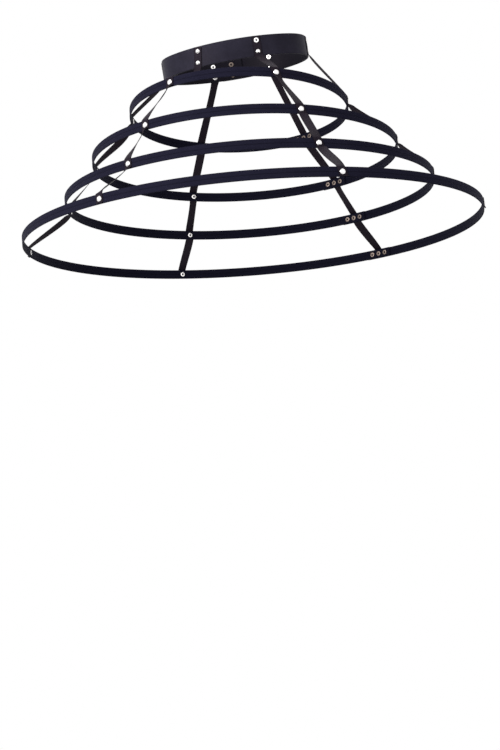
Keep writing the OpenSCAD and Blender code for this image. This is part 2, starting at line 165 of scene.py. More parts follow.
def hoop_arcs(k):
    """A hoop's arcs. It grows by a lap step in one turn."""
    radius, step = HOOP_D[k] / 2, TAPE_T + LAP_GAP
    return [
        Arc(np.zeros(2), radius, 0, 180),
        Arc(facing(0) * step / 2, radius + step / 2, 180, 360),
        Arc(np.zeros(2), radius + step, 360, 360 + arc_angle(LAP_LEN, radius)),
    ]


def band_arcs():
    """The waistband's oval of four arcs, whose second half is deeper by one lap step."""
    a = BAND_FLAT_ANGLE
    sin_a, cos_a = math.sin(math.radians(a)), math.cos(math.radians(a))
    step = BAND_T + LAP_GAP
    spread = (BAND_W - BAND_D) / 2 / (sin_a + cos_a - 1)
    side = BAND_W / 2 - spread * sin_a
    flat, back = side + spread, spread * cos_a
    growth = step / 2 / cos_a
    grown = spread - growth
    return [
        Arc(np.array([0, back]), flat, 0, a),
        Arc(np.array([spread * sin_a, 0]), side, a, 180 - a),
        Arc(np.array([0, -back]), flat, 180 - a, 180 + a),
        Arc(np.array([-grown * sin_a, grown * cos_a - back]), side + growth, 180 + a, 360 - a),
        Arc(np.array([0, back - step]), flat, 360 - a, 360),
        Arc(np.array([0, back]), flat + step, 360, 360 + arc_angle(BAND_LAP_LEN, flat)),
    ]


def ring_arcs(k):
    return band_arcs() if k == 0 else hoop_arcs(k)


def ring_t(k):
    return BAND_T if k == 0 else TAPE_T


def strap_angle(k, j):
    """Azimuth of a strap's middle on a ring."""
    right = STRAP_ANGLES[k]
    return right[j] if j < len(right) else -right[len(STRAP_NAMES) - 1 - j]


def ring_start(k):
    """Azimuth where a ring's strip starts: the band's at the back, a hoop's half a lap before its lap
    strap."""
    if k == 0:
        return 180
    return strap_angle(k, LAP_STRAP) - arc_angle(LAP_LEN, HOOP_D[k] / 2) / 2


def outer_arc(k, angle):
    """The outermost arc of a ring at an azimuth."""
    arcs = ring_arcs(k)
    lap = arcs[-1].last - arcs[-1].first
    local = angle - ring_start(k)
    turned = local + 360 * math.ceil((lap - local) / 360)
    return [a for a in arcs if a.first <= turned][-1]


def ring_matrix(k, start=0):
    """A ring's own frame, in millimetres: its place, its tilts about X and Y, and a turn about its axis."""
    if k == 0:
        centre, pitch, roll = BAND_CENTRE, BAND_PITCH, BAND_ROLL
    else:
        share = (HOOP_RISE[k] / HOOP_RISE[1]) ** LEAN_POWER
        centre = (LEAN[0] * share, LEAN[1] * share, HOOP_RISE[k])
        pitch, roll = LEAN_PITCH * share, LEAN_ROLL * share
    place = Matrix.Translation(Vector(centre) + Vector((0, 0, TAPE_H / 2)))
    tilt = Matrix.Rotation(math.radians(roll), 4, "Y") @ Matrix.Rotation(math.radians(pitch), 4, "X")
    return np.array(place @ tilt @ Matrix.Rotation(math.radians(start), 4, "Z"))


def moved(matrix, points):
    """Points carried by a matrix of a place and a turn."""
    return points @ matrix[:3, :3].T + matrix[:3, 3]


def strip_path(k):
    """Stations along a ring's strip: centres, directions out, and lengths from the start."""
    centres, outs, lengths, run = [], [], [], 0
    for centre, radius, first, last in ring_arcs(k):
        sweep = math.radians(last - first) * radius
        count = max(2, round(sweep / STRIP_STEP))
        for i in range(count + 1):
            if i == 0 and centres:
                continue
            out = facing(first + (last - first) * i / count)
            centres.append(centre + out * radius)
            outs.append(out)
            lengths.append(run + sweep * i / count)
        run += sweep
    flat = np.zeros((len(centres), 3))
    flat[:, :2] = centres
    away = np.zeros((len(outs), 3))
    away[:, :2] = outs
    matrix = ring_matrix(k, ring_start(k))
    return moved(matrix, flat), away @ matrix[:3, :3].T, matrix[:3, 2], np.array(lengths)


def new_piece(name, mesh, node, material):
    """Links a mesh as a piece that stands for a CAD node."""
    piece = bpy.data.objects.new(name, mesh)
    bpy.context.scene.collection.objects.link(piece)
    mesh.materials.append(material)
    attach(piece, "root")
    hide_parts(node)
    return piece


def smooth(mesh, angle):
    """Shades a mesh smooth, apart from edges sharper than an angle."""
    mesh.polygons.foreach_set("use_smooth", [True] * len(mesh.polygons))
    mesh.set_sharp_from_angle(angle=math.radians(angle))


def sweep_mesh(name, centres, outs, ups, loops, lengths):
    """Sweeps closed loops of (out, up) points along stations and closes both ends between the loops.
    The attribute weave holds metres along the strip, metres across it, and 1 on its outer face."""
    count = len(centres)
    verts, faces, weave, start = [], [], [], 0
    for loop in loops:
        size = len(loop)
        shape = np.asarray(loop, float)
        points = (
            centres[:, None, :]
            + outs[:, None, :] * shape[None, :, :1]
            + ups[:, None, :] * shape[None, :, 1:]
        )
        verts.append(points.reshape(-1, 3) * MM)
        mark = np.zeros((count, size, 3))
        mark[:, :, 0] = lengths[:, None] * MM
        mark[:, :, 1] = shape[None, :, 1] * MM
        mark[:, :, 2] = shape[None, :, 0] > 0
        weave.append(mark.reshape(-1, 3))
        for i in range(count - 1):
            for c in range(size):
                a, b = start + i * size + c, start + i * size + (c + 1) % size
                faces.append((a, b, b + size, a + size))
        start += count * size
    mesh = bpy.data.meshes.new(name)
    mesh.from_pydata(np.vstack(verts).tolist(), [], faces)
    strip = bmesh.new()
    strip.from_mesh(mesh)
    rims = [e for e in strip.edges if e.is_boundary]
    middle = Vector(centres[0] * MM), Vector(centres[-1] * MM)
    near = [[], []]
    for e in rims:
        mid = (e.verts[0].co + e.verts[1].co) / 2
        near[0 if (mid - middle[0]).length < (mid - middle[1]).length else 1].append(e)
    for edges in near:
        bmesh.ops.triangle_fill(strip, use_beauty=True, use_dissolve=False, edges=edges)
    bmesh.ops.recalc_face_normals(strip, faces=strip.faces[:])
    strip.to_mesh(mesh)
    strip.free()
    layer = mesh.attributes.new("weave", "FLOAT_VECTOR", "POINT")
    layer.data.foreach_set("vector", np.vstack(weave).astype(np.float32).ravel())
    return mesh


def rounded_slab(half_t, half_h, radius, face, rows):
    """Loop of a flat strip's section: two faces that a profile shapes, and rounded edges."""
    straight = half_h - radius
    tip = half_t - face(straight)
    side = [(half_t - face(z), z) for z in np.linspace(-straight, straight, rows)]
    arc = [math.radians(90 * i / CORNER_STEPS) for i in range(1, CORNER_STEPS + 1)]
    corner = [(tip - radius * (1 - math.cos(a)), straight + radius * math.sin(a)) for a in arc]
    right = side + corner + [(-x, z) for x, z in reversed(corner)]
    left = [(-x, -z) for x, z in right]
    return right + left


def tape_face(z):
    """How far a tape's face lies under its highest lines: a valley along the middle, and a crown over
    each bone."""
    line = BONE_SPACING / 2 + BONE_H / 2
    dip = CROWN * ((abs(z) - line) / line) ** 2
    if abs(z) < VALLEY_W:
        dip += (VALLEY_DEPTH - CROWN) * math.cos(math.pi / 2 * z / VALLEY_W) ** 2
    return dip


def band_face(z):
    """The band's face is flat."""
    return 0.0


def pocket(side):
    """Loop of the pocket for the upper bone with side = 1, or the lower one with side = -1."""
    half_t, half_h = BONE_T / 2 + BONE_CLEARANCE, BONE_H / 2 + BONE_CLEARANCE
    mid = side * (BONE_SPACING + BONE_H) / 2
    low, high = mid - half_h, mid + half_h
    return [(half_t, low), (half_t, high), (-half_t, high), (-half_t, low)]


def ring_strip(k, name, loops):
    """The strip of a ring, swept along its arcs."""
    centres, outs, up, lengths = strip_path(k)
    ups = np.repeat(up[None, :], len(centres), axis=0)
    return sweep_mesh(name, centres, outs, ups, loops, lengths)


# Straps
def strap_slope(k, j):
    """Sideways shift of a strap for each step up a ring: the slack strap leans on the band, and the taut
    ones on the hoops."""
    if k == 0 and j == SLACK_STRAP:
        return math.tan(math.radians(SLACK_LEAN))
    if k > 0 and j in TAUT_STRAPS:
        return math.tan(math.radians(TAUT_LEAN)) * (-1 if j == TAUT_STRAPS[0] else 1)
    return 0.0


def strap_azimuth(k, j, z):
    """Azimuth of a strap at a height on a ring. It follows the band's curve, and lies flat on a hoop."""
    angle = strap_angle(k, j)
    return angle + arc_angle(z * strap_slope(k, j), outer_arc(k, angle).radius) if k == 0 else angle


def ring_along(k, j, z):
    """Direction along a ring's strip, under a strap."""
    a = math.radians(strap_azimuth(k, j, z))
    return ring_matrix(k)[:3, :3] @ np.array([math.cos(a), math.sin(a), 0])


def ring_up(k):
    return ring_matrix(k)[:3, 2]


def strap_course(k, j):
    """Direction in which a strap runs down over a ring."""
    return -unit(ring_up(k) + ring_along(k, j, 0) * strap_slope(k, j))


def ring_point(k, j, out, z):
    """A point under a strap's centre line, at a distance from the ring's outer face."""
    arc = outer_arc(k, strap_angle(k, j))
    centre = arc.centre
    a = math.radians(ring_start(k))
    turned = np.array([
        centre[0] * math.cos(a) - centre[1] * math.sin(a),
        centre[0] * math.sin(a) + centre[1] * math.cos(a),
    ])
    flat = turned + facing(strap_azimuth(k, j, z)) * (arc.radius + ring_t(k) / 2 + out)
    shift = 0 if k == 0 else z * strap_slope(k, j)
    return moved(ring_matrix(k), np.array([flat[0], flat[1], z])) + ring_along(k, j, z) * shift


def strap_top(k):
    """Height at which a strap comes onto a ring."""
    return BAND_H / 2 - STRAP_END_GAP if k == 0 else TAPE_H / 2


def strap_foot(k):
    """Height at which a strap leaves a ring."""
    return -BAND_RIVET_PITCH / 2 - RIVET_FOOT if k == 0 else -RIVET_FOOT


def station(centre, course, along, square, twist=0.0, lift=0.0):
    """A station of a strap: its centre, the direction along its width, and the direction out. Its section
    lies square to the course with square = 1, and along the ring with square = 0, where it is longer."""
    raw = unit(along - course * (along @ course) * square)
    side = raw / np.linalg.norm(np.cross(raw, course))
    out = unit(np.cross(course, side))
    t = math.radians(twist)
    return (
        centre + out * lift,
        side * math.cos(t) + out * math.sin(t),
        out * math.cos(t) - unit(side) * math.sin(t),
    )


def ease(s):
    """A soft step from 0 to 1."""
    c = max(0.0, min(1.0, s))
    return c * c * (3 - 2 * c)


def twist_at(k, j, s):
    """A strap takes up its turn just below a ring, holds it, and lies flat again on the next one."""
    hold = HOLD_SHARES[j][k]
    return TWIST_ANGLE * TURN_SHARES[j][k] * ease(s / RISE_SHARE) * (1 - ease((s - hold) / (1 - hold)))


def curve_point(c, s, sag):
    """A point on a cubic curve with four control points, which sags by a vector at a third of its way."""
    cubic = c[0] * (1 - s) ** 3 + c[1] * 3 * (1 - s) ** 2 * s + c[2] * 3 * (1 - s) * s * s + c[3] * s**3
    return cubic + sag * SAG_FACTOR * s * s * (1 - s) ** 4


def curve_course(c, s, sag):
    """Direction of the same curve."""
    cubic = (c[1] - c[0]) * 3 * (1 - s) ** 2 + (c[2] - c[1]) * 6 * (1 - s) * s + (c[3] - c[2]) * 3 * s * s
    return unit(cubic + sag * SAG_FACTOR * 2 * s * (1 - s) ** 3 * (1 - 3 * s))


def sag_share(k, j):
    """Sag of a strap below a ring: full at the slack strap's top span, less in the limp strap's second."""
    if j == SLACK_STRAP and k == 0:
        return 1
    return LIMP_SHARE if j == LIMP_STRAP and k == LIMP_RING else 0


def strap_stations(j):
    """Every station of a strap, from the band's top edge to its cut end on the bottom hoop."""
    rows = []
    for k in range(LAST_HOOP + 1):
        for z in np.linspace(strap_top(k), strap_foot(k), SEAT_STEPS):
            point = ring_point(k, j, STRAP_OUT, z)
            rows.append(station(point, strap_course(k, j), ring_along(k, j, z), 1 if k == 0 else 0))
        if k == LAST_HOOP:
            break
        first = ring_point(k, j, STRAP_OUT, strap_foot(k))
        last = ring_point(k + 1, j, STRAP_OUT, strap_top(k + 1))
        leave, arrive = strap_course(k, j) * LEAVE_REACH, strap_course(k + 1, j) * ARRIVE_REACH
        curve = [first, first + leave, last - arrive, last]
        sag = np.array([0, 0, -SLACK_SAG * sag_share(k, j)])
        start_along, stop_along = ring_along(k, j, strap_foot(k)), ring_along(k + 1, j, strap_top(k + 1))
        for i in range(1, SPAN_STEPS):
            s = i / SPAN_STEPS
            along = start_along * (1 - s) + stop_along * s
            turn = twist_at(k, j, s)
            tilt = abs(math.sin(math.radians(turn)))
            lift = STRAP_W / 2 * tilt * ((1 - s) ** LEAVE_POWER + s**ARRIVE_POWER)
            square = (1 if k == 0 else ease(s / SQUARE_SHARE)) * ease((1 - s) / SQUARE_SHARE)
            point, course = curve_point(curve, s, sag), curve_course(curve, s, sag)
            rows.append(station(point, course, along, square, turn, lift))
    foot, end = strap_foot(LAST_HOOP), STRAP_END_GAP - TAPE_H / 2
    for i in range(1, END_STEPS + 1):
        s = i / END_STEPS
        point = ring_point(LAST_HOOP, j, STRAP_OUT + END_CURL * s * s, foot + (end - foot) * s)
        rows.append(station(point, strap_course(LAST_HOOP, j), ring_along(LAST_HOOP, j, 0), 0))
    return rows


def strap_face(z):
    """How far a strap's face lies under its middle line."""
    return STRAP_CROWN * (2 * z / STRAP_W) ** 4


def strap_mesh(j, name):
    """A strap, swept along its stations."""
    rows = strap_stations(j)
    centres, sides, outs = (np.array([r[i] for r in rows]) for i in range(3))
    steps = np.linalg.norm(np.diff(centres, axis=0), axis=1)
    lengths = np.concatenate([[0], np.cumsum(steps)])
    loop = rounded_slab(STRAP_T / 2, STRAP_W / 2, STRAP_ROUND, strap_face, STRAP_ROWS)
    return sweep_mesh(name, centres, outs, sides, [loop], lengths)


# Rivets
def ring_rivets(k):
    """All the rivets of a ring: those that hold straps, then those of its lap."""
    if k == 0:
        heights = (-BAND_RIVET_PITCH / 2, BAND_RIVET_PITCH / 2)
        lap_middle = 180 + arc_angle(BAND_LAP_LEN / 2, band_arcs()[0].radius)
        held = [
            Rivet(strap_angle(0, j), z * strap_slope(0, j), z, 1, 1, j == TURNED_STRAP and z > 0)
            for j in range(len(STRAP_NAMES)) for z in heights
        ]
        return held + [Rivet(lap_middle, 0, z, 2, 0, False) for z in heights]
    held = [
        Rivet(strap_angle(k, j), 0, 0, 2 if j == LAP_STRAP else 1, 1, False)
        for j in range(len(STRAP_NAMES))
    ]
    lap = strap_angle(k, LAP_STRAP)
    return held + [Rivet(lap, along, 0, 2, 0, False) for along in (-LAP_RIVET_PITCH, LAP_RIVET_PITCH)]


def rivet_matrix(k, rivet):
    """A rivet's frame: its origin on the ring's outer face, Z outwards and Y up."""
    arc = outer_arc(k, rivet.angle)
    turn = rivet.angle - ring_start(k) + arc_angle(rivet.along, arc.radius)
    out = facing(turn)
    local = np.eye(4)
    local[:3, 0] = (math.cos(math.radians(turn)), math.sin(math.radians(turn)), 0)
    local[:3, 1] = (0, 0, 1)
    local[:3, 2] = (out[0], out[1], 0)
    flat = arc.centre + out * (arc.radius + ring_t(k) / 2)
    local[:3, 3] = (flat[0], flat[1], rivet.z)
    return ring_matrix(k, ring_start(k)) @ local


def ring_cap_d(k):
    return BAND_CAP_D if k == 0 else CAP_D


def inner_seat(k, rivet):
    """Depth of a rivet's inner seat below the ring's outer face."""
    half = (ring_cap_d(k) if rivet.turned else FLANGE_D) / 2
    radius = outer_arc(k, rivet.angle).radius - 2 * ring_t(k)
    sink = radius - math.sqrt(radius * radius - half * half) + SEAT_GAP
    return rivet.layers * ring_t(k) + (rivet.layers - 1) * LAP_GAP + sink


def outer_seat(rivet):
    """Height of a rivet's outer seat above the ring's outer face."""
    return rivet.straps * (STRAP_GAP + STRAP_T) + SEAT_GAP


def turned_mesh(profile, sides, grime_and_shade):
    """Points, faces and grime with painted shade of a solid turned from a profile of (radius, height), axis
    to axis.
    """
    points, dirt_and_shade, rings = [], [], []
    for (r, z), g in zip(profile, grime_and_shade):
        ring = []
        for i in range(1 if r == 0 else sides):
            a = 2 * math.pi * i / sides
            ring.append(len(points))
            points.append((r * math.cos(a), r * math.sin(a), z))
            dirt_and_shade.append(g)
        rings.append(ring)
    faces = []
    for low, high in zip(rings, rings[1:]):
        for i in range(sides):
            n = (i + 1) % sides
            if len(low) == 1:
                faces.append((low[0], high[n], high[i]))
            elif len(high) == 1:
                faces.append((low[i], low[n], high[0]))
            else:
                faces.append((low[i], low[n], high[n], high[i]))
    return np.array(points), faces, dirt_and_shade


def cap_profile(rim_d):
    """A pressed dome with a rolled rim and the socket that takes the post."""
    socket_r, socket_h = POST_D / 2 + POST_CLEARANCE, POST_REACH + POST_CLEARANCE
    dome_h, half = CAP_H - CAP_RIM, rim_d / 2
    dome_r = (half * half + dome_h * dome_h) / 2 / dome_h
    profile = [(0, socket_h), (socket_r, socket_h), (socket_r, 0), (half - CAP_STEP, 0)]
    # Grime with painted shade: full in the socket and under the cap, less round the rolled rim, fading from
    # the dome's edge
    grime_and_shade = [1, 1, 1, 1]
    for i in range(1, ROLL_STEPS + 1):
        a = math.radians(-90 + CAP_ROLL_TURN * i / ROLL_STEPS)
        profile.append((half - CAP_ROLL + CAP_ROLL * math.cos(a), CAP_ROLL + CAP_ROLL * math.sin(a)))
        grime_and_shade.append(CAP_RIM_GRIME_AND_SHADE[0] + CAP_RIM_GRIME_AND_SHADE[1] * i)
    reach = math.asin((half - DOME_EDGE) / dome_r)
    for i in range(DOME_ROWS):
        a = reach * (1 - i / DOME_ROWS)
        profile.append((dome_r * math.sin(a), CAP_H - dome_r * (1 - math.cos(a))))
        grime_and_shade.append(DOME_GRIME_AND_SHADE * max(0, 1 - i / DOME_GRIME_AND_SHADE_ROWS))
    profile.append((0, CAP_H))
    grime_and_shade.append(0)
    return profile, grime_and_shade


def post_profile(length):
    """A hollow post whose flange is rolled over at its rim and flares into the open centre."""
    bore, half, mouth, roll = POST_BORE_D / 2, FLANGE_D / 2, MOUTH_D / 2, FLANGE_T / 2
    profile = [(0, length / 2), (bore, length / 2), (bore, 0)]
    # Grime with painted shade: full in the bore and on the shank, less over the mouth, growing round the
    # flange's roll
    grime_and_shade = [1, 1, 1]
    for i in range(1, ROLL_STEPS + 1):
        a = math.radians(90 * i / ROLL_STEPS)
        profile.append((mouth - (mouth - bore) * math.cos(a), -FLANGE_T * math.sin(a)))
        grime_and_shade.append(MOUTH_GRIME_AND_SHADE[0] + MOUTH_GRIME_AND_SHADE[1] * i)
    for i in range(ROLL_STEPS + 1):
        a = math.radians(-90 + 180 * i / ROLL_STEPS)
        profile.append((half - roll + roll * math.cos(a), -roll + roll * math.sin(a)))
        grime_and_shade.append(FLANGE_GRIME_AND_SHADE[0] + FLANGE_GRIME_AND_SHADE[1] * i)
    profile += [(POST_D / 2, 0), (POST_D / 2, length), (0, length)]
    grime_and_shade += [1, 1, 1]
    return profile, grime_and_shade


def rivets_mesh(k, name, posts):
    """All the caps or all the posts of a ring, as separate solids in one mesh.
    The attribute wear holds grime with painted shade, and tarnish for what lies on the inside, most of all
    at a lap."""
    verts, faces, wear = [], [], []
    for rivet in ring_rivets(k):
        depth, seat = inner_seat(k, rivet), outer_seat(rivet)
        profile, grime_and_shade = post_profile(depth + seat + POST_REACH) if posts else cap_profile(ring_cap_d(k))
        points, rows, marks = turned_mesh(profile, RIVET_SIDES, grime_and_shade)
        outside = posts == rivet.turned
        if outside == posts:
            points = points * [1, -1, -1]
        start = sum(len(v) for v in verts)
        lift = seat if outside else -depth
        verts.append(moved(rivet_matrix(k, rivet), points + [0, 0, lift]) * MM)
        faces += [tuple(start + i for i in row) for row in rows]
        tarnish = 0 if outside else LAP_TARNISH if rivet.layers == 2 else INNER_TARNISH
        wear += [(mark, tarnish, 0) for mark in marks]
    mesh = bpy.data.meshes.new(name)
    mesh.from_pydata(np.vstack(verts).tolist(), [], faces)
    shape = bmesh.new()
    shape.from_mesh(mesh)
    bmesh.ops.recalc_face_normals(shape, faces=shape.faces[:])
    shape.to_mesh(mesh)
    shape.free()
    layer = mesh.attributes.new("wear", "FLOAT_VECTOR", "POINT")
    layer.data.foreach_set("vector", np.array(wear, np.float32).ravel())
    smooth(mesh, RIVET_SMOOTH)
    return mesh


def carry_weave(source, cut):
    """Gives a cut mesh the weave of the mesh that it was cut from, by the nearest points."""
    marks = np.empty(len(source.vertices) * 3, np.float32)
    source.attributes["weave"].data.foreach_get("vector", marks)
    tree = KDTree(len(source.vertices))
    for i, v in enumerate(source.vertices):
        tree.insert(v.co, i)
    tree.balance()
    nearest = [tree.find(v.co)[1] for v in cut.vertices]
    cut.attributes["weave"].data.foreach_set("vector", marks.reshape(-1, 3)[nearest].ravel())


def merge_slivers(mesh):
    """Joins points that a cut has left almost on top of each other."""
    shape = bmesh.new()
    shape.from_mesh(mesh)
    bmesh.ops.remove_doubles(shape, verts=shape.verts[:], dist=SLIVER * MM)
    shape.to_mesh(mesh)
    shape.free()


def punch(mesh, rivets):
    """Cuts the holes of rivets through a mesh. Each rivet comes with the number of its ring."""
    cutter = bmesh.new()
    hole_r = POST_D / 2 + POST_CLEARANCE
    for k, rivet in rivets:
        low, high = -inner_seat(k, rivet) - HOLE_OVERRUN, outer_seat(rivet) + HOLE_OVERRUN
        hole = Matrix(rivet_matrix(k, rivet)) @ Matrix.Translation((0, 0, (low + high) / 2))
        bmesh.ops.create_cone(
            cutter, cap_ends=True, segments=HOLE_SIDES, radius1=hole_r, radius2=hole_r,
            depth=high - low, matrix=Matrix.Scale(MM, 4) @ hole,
        )
    tool_mesh = bpy.data.meshes.new("holes")
    cutter.to_mesh(tool_mesh)
    cutter.free()
    tool = bpy.data.objects.new("holes", tool_mesh)
    work = bpy.data.objects.new("work", mesh)
    for o in (tool, work):
        bpy.context.scene.collection.objects.link(o)
    cut = work.modifiers.new("holes", "BOOLEAN")
    cut.object, cut.operation, cut.solver = tool, "DIFFERENCE", "EXACT"
    graph = bpy.context.evaluated_depsgraph_get()
    done = bpy.data.meshes.new_from_object(
        work.evaluated_get(graph), preserve_all_data_layers=True, depsgraph=graph
    )
    merge_slivers(done)
    carry_weave(mesh, done)
    name = mesh.name
    for o in (tool, work):
        bpy.data.objects.remove(o)
    bpy.data.meshes.remove(tool_mesh)
    bpy.data.meshes.remove(mesh)
    done.name = name
    return done


# Materials: lengths are in metres
# Where the mark of the outer face turns from back to front, and the middle part of a noise
FACE_TURN, NOISE_MIDDLE = (0.2, 0.8), (0.3, 0.7)
# Colour sockets of a mix: two that go in, and the one that comes out
MIX_A, MIX_B, MIX_OUT = 6, 7, 2


class Shader:
    """A small helper that adds nodes and links to one material."""

    def __init__(self, name):
        self.material = bpy.data.materials.new(name)
        self.material.use_nodes = True
        self.tree = self.material.node_tree
        self.tree.nodes.clear()
        self.output = self.tree.nodes.new("ShaderNodeOutputMaterial")

    def put(self, socket, value):
        """Links a socket to another, or sets its constant."""
        if isinstance(value, bpy.types.NodeSocket):
            self.tree.links.new(value, socket)
        else:
            socket.default_value = value

    def add(self, kind, settings=None, **inputs):
        """A node with its settings and inputs, by name, or by number as i0 or i1."""
        node = self.tree.nodes.new("ShaderNode" + kind)
        for key, value in (settings or {}).items():
            setattr(node, key, value)
        for key, value in inputs.items():
            numbered = key[0] == "i" and key[1:].isdigit()
            self.put(node.inputs[int(key[1:]) if numbered else key], value)
        return node

    def math(self, operation, a, b=0.0):
        return self.add("Math", {"operation": operation}, i0=a, i1=b).outputs[0]

    def noise(self, vector, scale, detail=3.0, roughness=0.5):
        node = self.add("TexNoise", Vector=vector, Scale=scale, Detail=detail, Roughness=roughness)
        return node.outputs["Fac"]

    def stretch(self, vector, scale):
        return self.add("Mapping", Vector=vector, Scale=scale).outputs[0]

    def ramp(self, value, low, high, to_low=0.0, to_high=1.0):
        node = self.add("MapRange", {"interpolation_type": "SMOOTHSTEP"}, Value=value)
        for key, number in (("From Min", low), ("From Max", high), ("To Min", to_low), ("To Max", to_high)):
            node.inputs[key].default_value = number
        return node.outputs[0]

    def mix(self, factor, a, b):
        node = self.add("Mix", {"data_type": "RGBA"})
        for number, value in ((0, factor), (MIX_A, a), (MIX_B, b)):
            self.put(node.inputs[number], value)
        return node.outputs[MIX_OUT]

    def bump(self, height, distance, strength):
        return self.add("Bump", Height=height, Distance=distance, Strength=strength).outputs[0]

    def principled(self, colour, roughness, normal, **constants):
        node = self.add("BsdfPrincipled")
        for key, value in (("Base Color", colour), ("Roughness", roughness), ("Normal", normal)):
            self.tree.links.new(value, node.inputs[key])
        for key, value in constants.items():
            node.inputs[key.replace("_", " ")].default_value = value
        self.tree.links.new(node.outputs[0], self.output.inputs[0])
        return node


TWILL_PITCH = 0.0013
TWILL_SHARE, WEFT_SHARE = 0.7, 0.3
TAPE_DARK, TAPE_PALE = (0.0052, 0.0047, 0.0112, 1), (0.0145, 0.0136, 0.0295, 1)
# TAPE_WORN is the paler colour of wear, TAPE_SHADE the dark colour of painted shade
TAPE_WORN, TAPE_SHADE = (0.0230, 0.0215, 0.0400, 1), (0.0022, 0.0020, 0.0040, 1)
TAPE_GLOSS, TAPE_TINT, TAPE_ROUGH = 0.06, (0.6, 0.65, 1.0, 1.0), (0.66, 0.86)
FUZZ_SCALE, FUZZ_SPAN, WEAR_SCALE = 900.0, (0.2, 0.8), 22.0
# Distances from the middle line, and the painted shade there: a dark line along the valley, and darker
# edges
PAINTED_VALLEY_SHADE_RAMP, PAINTED_EDGE_SHADE_RAMP = (0.0003, 0.0012, 0.62, 1.0), (0.0066, 0.0076, 1.0, 0.8)
# How much painted shade darkens the back face, and how much wear shows on the front face
TAPE_BACK_SHADE, TAPE_FRONT_WEAR = 0.6, 0.6
# Height of the threads against the fuzz, and the depth and strength of both
THREAD_HEIGHT, TAPE_BUMP = 0.5, (0.00016, 0.55)


def tape_material():
    """Fine twill in near black with a little fuzz, and painted shade: a dark line along the valley, darker
    edges and a darker back face.
    """
    s = Shader("hoop_tape_twill")
    weave = s.add("Attribute", {"attribute_name": "weave"}).outputs["Vector"]
    along, across, outer = s.add("SeparateXYZ", Vector=weave).outputs[:3]
    turns = 1 / TWILL_PITCH
    diagonal = s.math("ADD", s.math("MULTIPLY", along, turns), s.math("MULTIPLY", across, turns))
    twill = s.math("SINE", s.math("MULTIPLY", diagonal, 2 * math.pi))
    weft = s.math("SINE", s.math("MULTIPLY", across, 2 * math.pi / (TWILL_PITCH / 2)))
    threads = s.math("ADD", s.math("MULTIPLY", twill, TWILL_SHARE), s.math("MULTIPLY", weft, WEFT_SHARE))
    fuzz = s.noise(weave, FUZZ_SCALE, detail=4.0, roughness=0.6)
    wear = s.noise(weave, WEAR_SCALE)
    # Painted shade: a dark line along the valley, darker edges and a darker back face, mixed towards
    # TAPE_SHADE
    middle = s.math("ABSOLUTE", across)
    lines = s.math("MULTIPLY", s.ramp(middle, *PAINTED_VALLEY_SHADE_RAMP), s.ramp(middle, *PAINTED_EDGE_SHADE_RAMP))
    shade = s.math("MULTIPLY", lines, s.ramp(outer, *FACE_TURN, TAPE_BACK_SHADE, 1.0))
    cloth = s.mix(s.ramp(threads, -1.0, 1.0), TAPE_DARK, TAPE_PALE)
    fade = s.math("MULTIPLY", wear, s.ramp(outer, *FACE_TURN, 0.0, TAPE_FRONT_WEAR))
    faded = s.mix(fade, cloth, TAPE_WORN)
    shaded = s.mix(shade, TAPE_SHADE, faded)
    rough = s.ramp(fuzz, *FUZZ_SPAN, *TAPE_ROUGH)
    height = s.math("ADD", s.math("MULTIPLY", threads, THREAD_HEIGHT), fuzz)
    normal = s.bump(height, *TAPE_BUMP)
    s.principled(shaded, rough, normal, Specular_IOR_Level=TAPE_GLOSS, Specular_Tint=TAPE_TINT)
    return s.material


STRAP_DARK, STRAP_PALE = (0.0150, 0.0112, 0.0165, 1), (0.0230, 0.0178, 0.0262, 1)
BAND_DARK, BAND_PALE = (0.0145, 0.0135, 0.0225, 1), (0.0235, 0.0220, 0.0355, 1)
# Back face: on the straps another tone of the rubber, on the band painted shade that darkens it
STRAP_BACK, STRAP_GLOSS, STRAP_ROUGH = 1.1, 0.05, (0.5, 0.64)
BAND_BACK_SHADE, BAND_GLOSS, BAND_ROUGH = 0.4, 0.08, (0.46, 0.58)
# Painted shade along the cut edges: its width, its darkness and its share
CUT_EDGE, CUT_SHADE, CUT_SHARE = 0.0012, 0.4, 0.75
CLOUD_SCALE, GRAIN_SCALE, STREAK_STRETCH = 38.0, 2600.0, (14.0, 620.0, 1.0)
STREAK_SHARE, GRAIN_SHARE = 0.3, 0.35
CLOUD_ROUGH, STREAK_ROUGH = 0.6, 0.4
RUBBER_TINT = (0.95, 0.82, 0.95, 1.0)
RUBBER_BUMP = (0.00006, 0.4)


